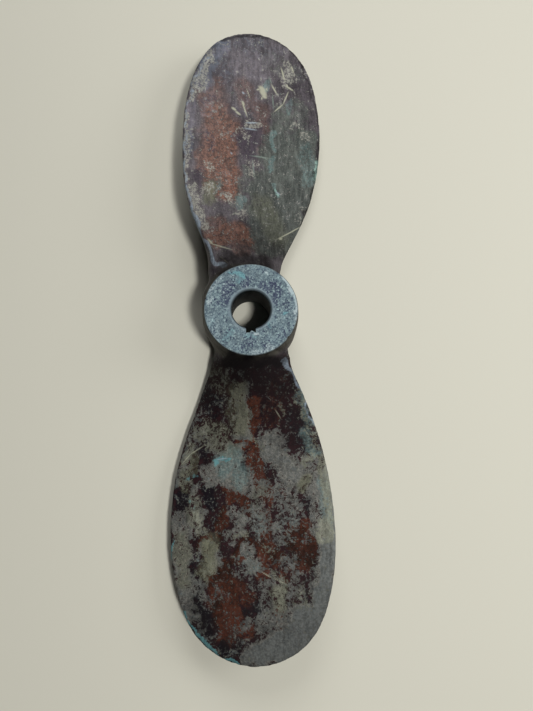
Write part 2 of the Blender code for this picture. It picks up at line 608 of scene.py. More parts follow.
def stains(*rows: tuple[float, ...]) -> list[Stain]:
    """Return stains from rows of reach, strength and then x and y of each corner of the path."""
    return [Stain(row[0], row[1], tuple(zip(row[2::2], row[3::2]))) for row in rows]


def marks(*rows: tuple[float, ...]) -> list[Mark]:
    """Return marks from rows of half width, and x and y of the start and of the end."""
    return [Mark(row[0], row[1:3], row[3:5]) for row in rows]


def strongest(strokes: Sequence[Stain | Mark], places: np.ndarray) -> np.ndarray:
    """Return the strength of the strongest stain or mark at each place."""
    return np.maximum.reduce([stroke.over(places) for stroke in strokes])


BLADE_STAINS: dict[Layer, Sequence[Stain]] = {
    Layer.COPPER: stains(
        (5.5, 0.55, -25, 121, -22, 112, -23, 101), (6, 0.5, -20, 128, -19, 119),
        (8, 0.85, -19, 111, -18, 97, -20, 88, -17, 67), (7, 0.9, -14, 104, -14, 80, -12, 65),
        (5, 0.5, -11, 108, -8, 102), (6, 0.85, -18, 37, -8, 43, 1, 39), (4.5, 0.6, -15, 46, -5, 33),
        (6, 0.42, -5, 131, -1, 119, 6, 115), (3.5, 0.3, -25, 139, -26, 119), (3.5, 0.6, -26, 87, -27, 76),
        (4.5, 0.45, 3, 119, 7, 106), (3, 0.35, 6, 98, 6, 91), (3, 0.5, -20, 46, -23, 42),
    ),
    Layer.PATINA: stains(
        (12.5, 1, 17, 94, 18, 47), (7.5, 0.85, 6, 73, 4, 60, 8, 38), (8, 1, 30, 103, 31, 68),
        (5.5, 0.6, 26, 123, 29, 109), (7.5, 0.7, 18, 116, 19, 104), (7, 0.4, 12, 150, 23, 141),
        (4.5, 0.55, -4, 63, -8, 56), (4, 0.5, 6, 89, 7, 81), (4, 0.55, -19, 69, -22, 60),
        (4.5, 0.55, -2, 78, -4, 67), (4.5, 0.9, 14, 107, 14, 82),
        (5.5, 1.15, 11, -63, 10, -69, 17, -74, 21, -80), (2.5, 0.8, 6, -61, 6, -66),
        (6, 1.05, -8, -69, -13, -78, -4, -82), (4, 0.8, -21, -77, -18, -82),
        (4.5, 0.85, -5, -39, -4, -45, -3, -59), (4.5, 0.34, -19, -28, -16, -35),
        (5, 0.46, -18, -63, -13, -69), (4.5, 0.52, -25, -60, -30, -67), (4, 0.62, -32, -71, -33, -82),
        (5.5, 0.85, -32, -101, -33, -120, -30, -133), (5, 0.62, -26, -97, -27, -105),
        (3, 0.65, -27, -88, -26, -92), (4.5, 0.72, -7, -97, -5, -104, -8, -109),
        (6.5, 0.56, 6, -86, 3, -95, 6, -103), (7, 0.58, 15, -88, 20, -95, 16, -103),
        (4.5, 0.85, 29, -78, 32, -91, 33, -104), (4, 0.65, 23, -73, 30, -73), (4.5, 0.5, 18, -83, 25, -87),
        (4.5, 0.85, -1, -115, 2, -120), (3.5, 0.45, -4, -124, 1, -129),
        (5.5, 0.62, 11, -129, 9, -136, 12, -143), (5.5, 0.6, 22, -130, 20, -137),
        (3.5, 0.8, 31, -131, 33, -122), (4.5, 1.45, 37, -111, 35, -131, 28, -148),
        (3.5, 1.45, 34, -135, 30, -147, 23, -155, 14, -160), (3.5, 0.45, -28, -137, -25, -144, -20, -152),
        (3, 0.8, -31, -131, -28, -139), (3, 0.7, 13, -136, 19, -141), (3.5, 0.72, 6, -146, 10, -154),
        (6, 1.45, 26, -142, 18, -153, 6, -159), (3.5, 1.2, -1, -161, 6, -161),
        (3, 1.3, 37, -77, 38, -95, 38, -113), (3, 0.5, -5, -148, -1, -146), (3, 0.6, -16, -159, -24, -152),
        (3, 0.85, -33, -136, -28, -145), (5, 0.95, -19, -114, -17, -119), (3.5, 0.5, -22, -126, -21, -133),
        (2, 0.4, -20, -137, -19, -140.5), (3.5, 0.45, 28, -63, 32, -68), (3, 0.42, -28, -51, -31, -59),
        (4.5, 0.42, 17, -118, 24, -126), (4, 0.38, 13, -111, 17, -107), (3.5, 0.8, 13, -145, 19, -143),
    ),
    Layer.VIOLET: stains(
        (6, 0.9, -2, 104, -2, 92), (3.5, 0.65, 4, 103, 3, 95), (3, 0.5, -8, 98, -7, 92),
        (4, 0.5, -24, 96, -21, 91), (3, 0.7, -28, 74, -27, 67), (5.5, 0.4, -16, 137, -14, 130),
        (3.5, 0.5, -12, 117, -8, 113), (7, 0.3, -14, 151, -4, 157), (4, 0.35, -1, 82, 1, 74),
        (3, 0.4, 25, 62, 26, 47), (2.5, 0.5, -25.5, 119, -20.5, 120), (2.5, 0.4, -32, 117, -29.5, 110),
        (5.5, 0.6, -21, -41, -18, -47), (4, 1, -33, -91, -32, -95), (3.5, 1, -20, -87, -19, -93),
        (4.5, 1, -24, -141, -18, -149), (3, 0.8, -26, -135, -23, -140), (2.5, 1, -13, -156, -10, -158),
        (3, 0.75, 27, -91, 28, -94), (3.5, 0.6, 0, -141, 3, -139), (3.5, 0.6, -27, -128, -24, -133),
        (4.5, 0.6, 24, -58, 27, -66), (3, 0.6, -24, -63, -21, -75), (3, 0.5, 25, -43, 29, -53),
        (5, 0.45, 16, -40, 22, -53), (3, 0.62, 7, -135, 6, -142), (3.5, 0.65, -28, -122, -25, -127),
        (3, 0.5, -18, -58, -20, -65), (2, 0.7, -35, -86, -34, -92), (2.5, 0.7, -4, -153.5, -5.5, -157),
        (2.5, 0.6, 27.5, -131, 25.5, -138),
    ),
    Layer.RUST: stains(
        (4, 0.82, 1, -45, 1, -55, -1, -61), (3.5, 1.05, -2, -61, -4, -66),
        (4.5, 0.85, 3, -68, 3, -78, 7, -85), (8, 1.15, -13, -126, -12, -137, -9, -149),
        (4, 0.9, -6, -117, -2, -111), (5.5, 0.95, 6, -109, 12, -117), (7, 1, 22, -106, 25, -116),
        (4, 0.8, 27, -103, 29, -114), (2.5, 1.1, 13.5, -141, 16.5, -147, 20, -151),
        (6, 0.45, 15, -35, 10, -54), (3.5, 0.8, -11, -85, -9, -91), (3.5, 0.85, -5, -86, 0, -97),
        (3.5, 0.8, 5, -82, 9, -91), (2.5, 0.8, -20.5, -109, -23.5, -113), (3, 0.85, -12, -97, -14, -107),
        (3.5, 0.7, -3, -151, 1, -149), (3.5, 0.7, 6, -121, 6, -125), (4, 0.65, 17, -125, 24, -121),
        (4, 0.7, -5, -130, 0, -136), (3.5, 0.7, 7, -96, 9, -105), (4.5, 0.4, 19, -44, 13, -42),
        (2.5, 0.6, 14.5, -85.5, 16.5, -89), (3, 0.5, 20, -91, 24, -100),
    ),
    Layer.TEAL: stains(
        (1.5, 1, 11.5, 104, 11.5, 93.5), (1.5, 0.9, 11.5, 88.5, 10.5, 82.5),
        (2, 0.6, 21.5, 124.5, 20.5, 119), (2, 0.9, 8.5, 134.5, 8, 130), (5, 0.5, 31, 97, 32, 80),
        (2.5, 0.7, -5.5, 63, -6.5, 56), (1.4, 0.8, 14.5, 68.5, 12.5, 72.5), (6, 0.75, -9, -71, -13, -75),
        (4.5, 0.7, -4, -76, -5, -82), (4, 0.3, -1, -119, 2, -121), (4, 0.3, 16, -103, 18, -100),
        (3.5, 0.3, 4, -100, 5, -105), (3, 0.6, 34, -82, 36, -100), (3, 0.6, 24, -42, 28, -54),
        (3, 0.65, 26, -60, 30, -69), (2, 0.3, -16, -134, -12.5, -132), (1.5, 0.4, -14, 65, -11, 62),
    ),
    Layer.VERDIGRIS: stains(
        (2, 0.85, 37, 91.5, 37, 82), (1.5, 0.5, 35, 78, 36.5, 85.5),
        (1.3, 0.55, -16.5, -73.5, -14, -71.5, -11, -72), (1.1, 0.6, -17.5, -76.5, -16, -74.5),
        (1.2, 0.5, -29.5, -81, -26, -81),
        (0.7, 1.15, -28.5, -146, -24, -151.5, -19, -156.5, -12.5, -161, -4.5, -163.5),
        (1.1, 0.7, -22.5, -152, -17, -157), (0.6, 0.7, -30.5, -142.5, -28.5, -146),
        (1.1, 0.7, 13.5, 70.5, 14.5, 69), (0.7, 0.6, -37.5, -110.5, -36.5, -119.5),
        (1.5, 0.35, -28, -91.5, -26.5, -95.5),
    ),
    Layer.CRUST: stains(
        (2, 0.7, -22, 150.5, -26, 140.5, -30, 130, -33.5, 117),
        (1.5, 0.74, -35, 109.5, -34.5, 92, -33.5, 69.5), (3, 0.85, -31, 64, -29, 57, -27, 49),
        (2, 0.85, -26, 49, -23.5, 42.5), (3, 0.62, 20, 147, 22, 139), (2.5, 0.5, 18, 141, 19, 135),
        (2.5, 0.5, -22.5, 79, -20.5, 77), (3, 0.42, -13, 62, -10, 58, -4, 52), (3.5, 0.35, 25, 110, 30, 106),
        (2, 0.5, -25, 133, -28, 122.5), (2, 0.9, -23, 146, -25.5, 137), (2, 0.8, -27, 133, -28.5, 125),
        (2, 0.7, -2.5, 107, 3.5, 107), (2.5, 0.5, -7, 102, -3, 99), (2.5, 0.45, -0.5, 85, 1.5, 77.5),
        (2.5, 0.4, -22, 67.5, -24.5, 63.5), (2.5, 0.5, 23, -42.5, 25.5, -51), (2, 0.4, 22, -40.5, 31.5, -66),
        (2.5, 0.8, 34, -71.5, 37, -91, 37.5, -108), (3, 0.75, 35, -100, 34, -107),
        (2.5, 0.5, 29.5, -70.5, 25.5, -73.5), (2, 0.6, -28.5, -65.5, -33.5, -73.5),
        (3.5, 0.42, -21, -55, -13, -60), (3.5, 0.46, -26, -58, -20, -65), (3, 0.5, -26, -99, -23, -105),
        (2, 0.45, 11.5, -124.5, 16.5, -127), (3, 0.75, 14, -133, 15, -138), (2, 0.5, -6, -108, -1.5, -106),
        (2, 0.35, 6.5, -112, 10, -114.5), (3, 0.4, 24, -131, 24, -138), (2, 0.5, 0, -62, 6, -66),
        (1.5, 0.4, 13.5, -48, 15.5, -51.5), (2.5, 0.5, -16.5, -119, -20, -125.5),
        (2.5, 0.25, 30.5, 63, 27.5, 56),
    ),
    Layer.OLIVE: stains(
        (3.5, 0.9, -22, 67, -21, 58), (4, 1, -18, -110, -19, -118, -21, -125),
        (4, 0.5, -33, -110, -31, -128), (5.5, 0.7, -7, -39, -5, -55), (5, 0.4, -18, -29, -14, -36),
        (6, 0.45, -17, -58, -11, -66), (2.5, 0.8, 26.5, -80.5, 25, -84.5),
        (2.5, 0.8, -27.5, -70.5, -28, -79.5), (3, 0.6, -31, -79, -32, -86), (7, 0.4, 6, 60, 14, 45),
        (3.5, 0.6, 14, -131, 14, -138), (3.5, 0.4, -30, 64, -26, 52), (3.5, 0.4, -27, -91, -28, -101),
        (3, 0.3, 6, -86, 3, -91),
    ),
    # Pinkish film with painted sheen, on the upper blade's left side and tip
    Layer.PINK: stains(
        (5.5, 0.85, -17, 156, -24, 144, -27, 128), (4, 0.25, -25, 121, -25, 110),
        (7, 0.32, -10, 153, -12, 135), (3.5, 0.5, -33, 114, -34, 86), (5, 0.3, -8, 158, 6, 160),
        (5.5, 0.25, 0, 124, -3, 114), (7, 0.35, -1, 150, 3, 140), (5, 0.3, 14, 156, 9, 149),
    ),
    # Dark grime, partly painted shade in the creases at the blades' roots beside the hub
    Layer.GRIME_AND_SHADE: stains(
        (4.5, 1, -12, 27, 7, 28), (3, 1.3, -12, -24, 2, -26, 14, -25), (8, 0.7, -2, -31, 14, -36),
        (4.5, 0.35, 26, 126, 32, 118), (3, 0.9, -12, 22, -16, 19), (7, 0.45, 10, -45, 20, -56),
        (5, 0.4, 20, -61, 16, -63), (4, 0.35, -14, -25, -18, -33), (5, 0.5, 6, 37, 16, 36),
        (3.5, 0.5, -5, 34, 6, 35), (3, 0.2, -28, -42, -23, -38), (4, 0.5, -27, -140, -22, -147),
        (4, 0.3, -25, -63, -20, -71), (3, 0.35, -34, -101, -31, -95),
        (0.8, 0.9, -16.5, 158.5, -2, 163, 13.5, 162.5, 25.5, 153.5, 34.5, 134.5, 38.5, 110.5, 38, 93.5, 33,
         69, 27.5, 54),
        (1.3, 0.4, -26.5, 146, -20, 154.5),
    ),
    # Painted highlight along the raised edges beside the roots and up the upper blade's left edge
    Layer.LEDGE_HIGHLIGHT: stains(
        (0.9, 0.7, -35, 80, -33, 65, -30.5, 52.5),
        (1.1, 1.1, -30.5, 52.5, -26, 40.5, -22, 31.5, -19, 26, -14, 22.5),
        (0.8, 1.1, 16, -24, 19.5, -30.5, 24.5, -41), (0.6, 0.8, 24.5, -41, 30, -56.5),
        (0.8, 0.5, -25, 146, -32, 128.5, -35, 110.5, -35, 80),
    ),
}

FACE_STAINS: dict[Layer, Sequence[Stain]] = {
    Layer.STAIN: stains(
        (2.5, 0.75, -11.5, 12, -12, 5), (2.5, 0.75, 10.5, 12.5, 12.5, 8.5, 11.5, 3.5),
        (2, 0.75, 5.5, 12.5, 8.5, 10.5), (2, 0.7, -1.5, 14.5, -3.5, 11.5), (2, 0.45, 16, -10.5, 14.5, -13.5),
        (2, 0.5, -15, 5, -16.5, 2), (2, 0.5, -2, -14.5, 0, -16.5), (2, 0.45, -17, 4, -14, 2),
        (2.5, 0.35, 9.5, -15.5, 7.5, -18.5), (2, 0.3, 18.5, 4.5, 19, -0.5), (2, 0.3, 13.5, 1.5, 15.5, -1.5),
        (2, 0.3, -6, -18.5, -2, -20.5),
    ),
    Layer.GREEN: stains(
        (0.8, 0.8, -9, 19, -5.5, 18), (1.1, 0.95, -5.5, 18, -3.5, 16.5), (1.5, 0.42, -5.5, 15.5, -6.5, 12.5),
        (0.6, 1.1, 17, -1, 16.5, -2), (0.7, 0.8, 8.5, -5.5, 9, -8.5), (1, 0.6, 20, 8.5, 21, 4.5),
        (1.5, 0.25, -10.5, -2, -8.5, -3.5), (1.5, 0.3, -2, -13, 1.5, -13.5), (2, 0.3, -10, -11, -11.5, -15),
        (1.5, 0.3, -17.5, -5, -19.5, -9),
    ),
    # Pale wear spots, and painted highlight along the right and lower rim of the near face
    Layer.PALE: stains(
        (0.6, 1, -1.5, 12.5, -1, 11.5), (0.4, 1, 1.5, -13, 3, -12.5), (0.7, 0.9, 7, 19, 8.5, 18.5),
        (3.5, 0.3, -18.5, -5, -17.5, -13), (2, 0.45, 1, -22, 10.5, -19),
        (1.1, 1.2, 16.5, 16, 19.5, 11, 21, 5), (0.8, 0.9, 21.5, 2.5, 21.5, -5.5),
        (1, 0.6, 9.5, -22, 16.5, -17.5), (1, 0.5, -20.5, 2, -19.5, 9, -15, 15), (2, 0.25, -14, 9, -9, 16.5),
        (1.5, 0.3, -8.5, -7, -2, -11),
    ),
}

MARKS: dict[Layer, Sequence[Mark]] = {
    Layer.CREAM_MARK: marks(
        (0.45, 11, 133.5, 14, 128), (0.45, 16.5, 145, 18.5, 137.5), (0.35, 12.5, 117, 17.5, 122.5),
        (0.35, 17.5, 122.5, 20.5, 130.5), (1.45, 5, 130.5, 6.5, 129), (1.6, 5.5, 128.5, 7, 126.5),
        (0.95, 6.5, 125.5, 7.5, 125), (0.5, 3, 129, 4, 129.5), (0.4, 5.5, 124.5, 5.5, 123.5),
        (0.4, 8, 130.5, 8.5, 129.5), (0.4, -5.5, 120.5, -2.5, 111.5), (0.7, -5, 120, -4.5, 118.5),
        (0.7, -10.5, 115.5, -9, 114.5), (0.6, -8.5, 113.5, -6.5, 112), (0.3, 14, 43.5, 28, 54),
        (0.55, 15.5, 44, 16.5, 44.5), (0.5, -21.5, 36, -19.5, 34), (0.3, -20.5, 34, -10, 32),
        (0.2, 12, -48.5, 14.5, -52.5), (0.2, 6, -123.5, 10.5, -126), (0.15, 11.5, -126, 16.5, -128.5),
        (0.2, -33.5, -74, -29.5, -69.5), (0.2, -29.5, -69.5, -23, -65.5), (0.2, -3, 129, -1, 123),
        (0.5, 19.5, 134, 23, 132), (0.45, 22.5, 147, 23.5, 143.5), (0.4, 19.5, 135, 20.5, 133),
        (0.25, -11.5, 24.5, -15.5, 27.5),
    ),
    Layer.GREEN_MARK: marks(
        (0.35, 9.5, 138, 11, 134.5), (0.3, 11.5, 127.5, 12, 119), (0.35, -0.5, 88, 10.5, 88.5),
        (0.3, 0.5, 85.5, 1.5, 76.5), (0.3, 6, 88.5, 9, 87),
    ),
    Layer.BLUE_MARK: marks(
        (0.55, -5, 126, -4.5, 125.5), (0.4, -11, 88, -10.5, 87.5), (0.25, -16, -72, -11, -71.5),
        (0.4, -3, 107.5, 3, 108.5), (0.4, -4, 104, 2.5, 104), (0.35, 13.5, 69.5, 15.5, 68.5),
    ),
}


@dataclass
class PaintedWearAndLight:
    """The wear, painted shade and painted highlights on the casting's vertices, one named attribute for each
    layer.

    The far side repeats the near side's finish with the two blades changed over.
    """

    hub: Hub
    body: Solid
    face_depth: float = 0.12 * MM
    face_facing: float = 0.5
    blade_margin: float = 1.0 * MM
    near_limit: float = -0.25
    seed: int = 11
    waves: int = 14
    wave_lengths: Point = (4.0, 15.0)
    wave_share: float = 0.035
    sharpness: Point = (0.04, 0.30)
    lower_begins: Point = (-26.0, -14.0)
    flank_fade: Point = (-0.2 * MM, 1.8 * MM)
    # Painted shade: its fade from the hub, its strength there, its share on the lower blade and its fade
    # towards the lower tip
    root_shade_fade: Point = (26.0 * MM, 84.0 * MM)
    root_shade: float = 0.95
    lower_root_shade_share: float = 0.7
    tip_shade_fade: Point = (95.0 * MM, 160.0 * MM)
    tip_shade: float = 0.7
    mouth_reach: float = 0.55
    mouth_share: float = 0.8
    points: np.ndarray = field(init=False)
    normals: np.ndarray = field(init=False)
    radius: np.ndarray = field(init=False)

    def __post_init__(self) -> None:
        """Read the positions and normals of the casting's vertices."""
        self.points, self.normals = rows_of(self.body, "co"), rows_of(self.body, "normal")
        self.radius = np.hypot(self.points[:, 0], self.points[:, 1])

    def wander(self, places: np.ndarray) -> np.ndarray:
        """Return small smooth offsets that make the stains' outlines irregular.

        Args:
            places: One row of x and y in millimetres for each place.

        Returns:
            One offset in millimetres for each place.
        """
        dice = np.random.default_rng(self.seed)
        offsets = np.zeros_like(places)
        for _ in range(self.waves):
            heading, aim, phase = dice.uniform(0.0, 2.0 * math.pi, 3)
            wavelength = dice.uniform(*self.wave_lengths)
            along = places @ np.array([math.cos(heading), math.sin(heading)])
            wave = self.wave_share * wavelength * np.sin(2.0 * math.pi * along / wavelength + phase)
            offsets += wave[:, None] * np.array([math.cos(aim), math.sin(aim)])
        return offsets

    def edge_wear_and_highlight(self) -> np.ndarray:
        """Return how sharply the skin bulges at each vertex, from 0 on flats to 1 on edges.

        Returns:
            One value for each vertex.
        """
        pairs = np.zeros(len(self.body.data.edges) * 2, np.int32)
        self.body.data.edges.foreach_get("vertices", pairs)
        first, second = pairs.reshape(-1, 2).T
        gap = self.points[second] - self.points[first]
        length = np.maximum(np.linalg.norm(gap, axis=1), 1e-9)
        bulge, count = np.zeros((2, len(self.points)))
        for ends, sign in ((first, -1.0), (second, 1.0)):
            np.add.at(bulge, ends, sign * (gap * self.normals[ends]).sum(1) / length)
            np.add.at(count, ends, 1.0)
        return eased(bulge / np.maximum(count, 1.0), *self.sharpness)

    def bored(self) -> np.ndarray:
        """Return which vertices lie on the wall of the bore, its flare or the keyway.

        Returns:
            One truth value for each vertex.
        """
        hub, slack, radius = self.hub, self.hub.slack, self.radius
        bore = 0.5 * hub.bore_diameter
        across, along, height = self.points.T
        in_keyway = (np.abs(across) < 0.5 * hub.keyway_width + slack) & (along < 0.0)
        in_keyway &= radius < bore + hub.keyway_depth + 3.0 * slack
        in_keyway &= height - (hub.length - hub.chamfer) < 5.0 * slack
        in_flare = (radius < bore + hub.far_flare + 3.0 * slack) & (height > 0.5 * slack)
        in_flare &= height < hub.far_depth + slack
        return (radius < bore + 4.0 * slack) | in_keyway | in_flare

    def turned(self) -> np.ndarray:
        """Return which vertices lie on the hub's two turned faces.

        Returns:
            One truth value for each vertex.
        """
        height = self.points[:, 2]
        at_face = np.minimum(np.abs(height), np.abs(height - self.hub.length)) < self.face_depth
        inside = self.radius < self.hub.face_radius + 3.0 * self.hub.slack
        return at_face & inside & (np.abs(self.normals[:, 2]) > self.face_facing)

    def levels(self) -> dict[Layer, np.ndarray]:
        """Return every layer's strength at each vertex.

        Returns:
            One value for each vertex, layer by layer.
        """
        hub, points, radius = self.hub, self.points, self.radius
        bored, turned = self.bored(), self.turned()
        near = self.normals[:, 2] > self.near_limit
        straight = points[:, :2] / MM
        places = straight * np.where(near[:, None], 1.0, (1.0, -1.0))
        places += self.wander(places)
        outside = radius > hub.face_radius - self.blade_margin
        zones = (BLADE_STAINS, places, outside), (FACE_STAINS, places, turned), (MARKS, straight, near)
        levels = {}
        for group, where, zone in zones:
            for layer, strokes in group.items():
                levels[layer] = strongest(strokes, where) * zone
        levels[Layer.LOWER] = 1.0 - eased(places[:, 1], *self.lower_begins)
        # Painted shade round the hub, weaker on the lower blade, and painted shade towards the lower blade's
        # tip
        around_hub = self.root_shade * (1.0 - eased(radius, *self.root_shade_fade))
        around_hub *= np.where(points[:, 1] > 0.0, 1.0, self.lower_root_shade_share)
        levels[Layer.PAINTED_SHADE] = around_hub + self.tip_shade * eased(-points[:, 1], *self.tip_shade_fade)
        levels[Layer.FACE] = turned & ~bored
        # Painted shade inside the bore and the keyway
        levels[Layer.BORE] = bored & ~turned
        fade = [hub.belly_radius + part for part in self.flank_fade]
        levels[Layer.FLANK] = (1.0 - eased(radius, *fade)) * ~turned * ~bored
        # Painted highlight on the bore's chamfered mouth
        mouth = np.abs(radius - 0.5 * (hub.bore_diameter + hub.chamfer)) < self.mouth_reach * hub.chamfer
        mouth &= points[:, 2] > hub.length - hub.chamfer - hub.slack
        levels[Layer.MOUTH] = self.mouth_share * mouth
        levels[Layer.EDGE] = self.edge_wear_and_highlight()
        return levels

    def paint(self) -> None:
        """Store every layer's strength on the casting's vertices."""
        levels = self.levels()
        for layer in Layer:
            store = self.body.data.attributes.new(layer.value, "FLOAT", "POINT")
            store.data.foreach_set("value", np.asarray(levels[layer], np.float32))


# Radius, and how far the left and the right edge lie beyond the plain outline
UPPER_TRIM: Sequence[Triple] = (
    (0.028, 0.0, 0.0), (0.033, -0.0006, -0.0004), (0.0376, -0.0018, -0.0005), (0.045, -0.0003, -0.0002),
    (0.053, 0.0001, 0.0), (0.062, 0.0006, 0.0004), (0.071, 0.0008, 0.0007), (0.080, 0.0003, 0.0009),
    (0.090, -0.0002, 0.0009), (0.106, -0.0004, 0.0006), (0.122, 0.0, 0.0), (0.132, 0.0002, -0.0005),
    (0.141, 0.0007, -0.0003), (0.149, 0.0013, 0.0), (0.159, 0.0029, 0.0003), (0.165, 0.0024, 0.0006),
)
LOWER_TRIM: Sequence[Triple] = (
    (0.024, 0.0008, 0.0), (0.030, 0.0006, 0.0), (0.035, 0.0004, 0.0001), (0.042, 0.0008, 0.0006),
    (0.050, 0.0006, -0.0002), (0.058, 0.0002, -0.0009), (0.066, 0.0, -0.0006), (0.073, 0.0, -0.0005),
    (0.080, 0.0, -0.0003), (0.087, 0.0, 0.0003), (0.101, 0.0001, 0.0004), (0.115, 0.0004, 0.0006),
    (0.127, 0.0004, 0.0007), (0.133, 0.0002, 0.0003), (0.140, 0.0, 0.0002), (0.157, 0.0002, 0.0),
    (0.164, -0.0003, -0.0005),
)
# Place and radius of each nick, in millimetres
NICKS: Sequence[tuple[Triple, float]] = (
    ((18.4, -14.2, 30.3), 1.0), ((-22.4, 5.0, 30.4), 0.8), ((9.0, 21.3, 30.4), 0.7),
    ((39.6, -101.0, 25.2), 1.1), ((-38.4, -96.0, 8.4), 0.9), ((37.6, 118.0, 9.6), 0.9),
    ((-36.2, 83.0, 26.6), 0.8), ((22.0, -160.2, 20.2), 0.9), ((-4.0, 166.0, 17.6), 0.9),
)


@dataclass
class Casting:
    """The whole casting: hub and blades fused, softened, machined, painted with wear, painted shade and
    painted highlights, and dressed.

    bulges lists the bearing and spread in degrees and the height of each swelling of the hub's flank.
    """

    hub: Hub = field(default_factory=Hub)
    grain: float = 0.80 * MM
    ripple: float = 0.22 * MM
    ripple_scale: float = 9.0 * MM
    root_reach: float = 4.5 * MM
    rim_margin: float = 1.2 * MM
    root_smoothing: int = 18
    skin_smoothing: int = 2
    bulges: Sequence[Triple] = ((-60.0, 17.0, 2.2 * MM), (128.0, 14.0, 0.8 * MM))
    bulge_radii: Sequence[Point] = ((21.0 * MM, 23.5 * MM), (29.0 * MM, 36.0 * MM))
    bulge_heights: Sequence[Point] = ((1.0 * MM, 8.0 * MM), (22.0 * MM, 29.0 * MM))
    mark_margin: float = 0.9
    mark_facing: float = 0.3
    smooth_angle: float = 38.0
    body: Solid = field(init=False)

    def blades(self) -> list[Blade]:
        """Return the two blades, which differ a little in outline.

        Returns:
            The upper blade and the lower one.
        """
        upper = Blade(
            "upper_blade", self.hub, turn=0.0, width=78.4 * MM, tip_power=13.4,
            root_lean=-4.2 * MM, tip_lean=3.7 * MM, trim=UPPER_TRIM,
        )
        lower = Blade(
            "lower_blade", self.hub, turn=math.pi, width=81.2 * MM, tip_power=17.4,
            root_lean=0.7 * MM, tip_lean=-2.8 * MM, trim=LOWER_TRIM,
        )
        return [upper, lower]

    def fuse(self) -> None:
        """Join the hub and the blades and give them one even skin, still without the bore."""
        casting = self.hub.blank()
        select_only(casting, *[blade.build() for blade in self.blades()])
        bpy.ops.object.join()
        casting.name = PIECE_NAME
        casting.data.name = PIECE_NAME
        casting.vertex_groups.clear()
        skin = casting.modifiers.new("skin", "REMESH")
        skin.mode = "VOXEL"
        skin.voxel_size = self.grain
        apply_modifiers(casting)
        self.body = casting

    def soften(self) -> None:
        """Round the roots of the blades into the hub, and even out the whole skin."""
        points = rows_of(self.body, "co")
        radius = np.hypot(points[:, 0], points[:, 1])
        inside = (points[:, 2] > self.rim_margin) & (points[:, 2] < self.hub.length - self.rim_margin)
        near_root = (np.abs(radius - self.hub.belly_radius) < self.root_reach) & inside
        edit(self.body)
        pick_vertices(self.body, near_root)
        bpy.ops.mesh.vertices_smooth(factor=0.5, repeat=self.root_smoothing)
        bpy.ops.mesh.select_all(action="SELECT")
        bpy.ops.mesh.vertices_smooth(factor=0.5, repeat=self.skin_smoothing)
        bpy.ops.object.mode_set(mode="OBJECT")

    def swell(self) -> None:
        """Fill out the hub's flank beside the blades' raised edges, where the mould ran wide."""
        points = rows_of(self.body, "co")
        across, along, height = points.T
        radius = np.hypot(across, along)
        bearing = np.degrees(np.arctan2(across, along))
        on_flank = within(radius, *self.bulge_radii) * within(height, *self.bulge_heights)
        for centre, spread, amount in self.bulges:
            offset = (bearing - centre + 180.0) % 360.0 - 180.0
            push = amount * np.exp(-((offset / spread) ** 2)) * on_flank
            points[:, :2] += points[:, :2] / np.maximum(radius, 1e-6)[:, None] * push[:, None]
        place_points(self.body, points)

    def roughen(self) -> None:
        """Give the skin the unevenness of a sand mould."""
        sand = bpy.data.textures.new("sand_mould", "CLOUDS")
        sand.noise_scale = self.ripple_scale
        sand.noise_depth = 3
        ripple = self.body.modifiers.new("ripple", "DISPLACE")
        ripple.texture = sand
        ripple.texture_coords = "LOCAL"
        ripple.strength = self.ripple
        ripple.mid_level = 0.5
        apply_modifiers(self.body)

    def nick(self) -> None:
        """Knock small nicks into the hub's rim and the blades' edges."""
        tools = []
        for place, reach in NICKS:
            select_only()
            bpy.ops.mesh.primitive_ico_sphere_add(
                subdivisions=2, radius=reach * MM, location=[part * MM for part in place]
            )
            tools.append(bpy.context.active_object)
        select_only(*tools)
        bpy.ops.object.join()
        carve(self.body, tools[0])

    def refine(self) -> None:
        """Divide the skin's faces along the fine marks, so that they stay crisp."""
        points = rows_of(self.body, "co")
        facing = rows_of(self.body, "normal")[:, 2] > self.mark_facing
        close = np.zeros(len(points), bool)
        for group in MARKS.values():
            for mark in group:
                gap = path_distance(points[:, :2] / MM, (mark.start, mark.end))
                close |= facing & (gap < mark.half_width + self.mark_margin)
        edit(self.body)
        pick_vertices(self.body, close)
        bpy.ops.mesh.subdivide(number_cuts=1, smoothness=0.0)
        bpy.ops.object.mode_set(mode="OBJECT")

    def build(self) -> None:
        """Build the finished shape, and paint its layers of wear, painted shade and painted highlights."""
        self.fuse()
        LOG.info("fused skin: %d faces", len(self.body.data.polygons))
        self.soften()
        self.swell()
        self.roughen()
        self.hub.machine(self.body)
        self.nick()
        self.refine()
        PaintedWearAndLight(self.hub, self.body).paint()

    def dress(self) -> None:
        """Give the casting its finish and its smooth shading, attach it to the root body and hide the CAD
        part.
        """
        piece = self.body
        piece.data.materials.clear()
        piece.data.materials.append(WeatheredBronze().material())
        select_only(piece)
        bpy.ops.object.shade_smooth_by_angle(angle=math.radians(self.smooth_angle))
        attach(piece, "root")
        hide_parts(CAD_NODE)
        LOG.info("%s: %d faces", piece.name, len(piece.data.polygons))


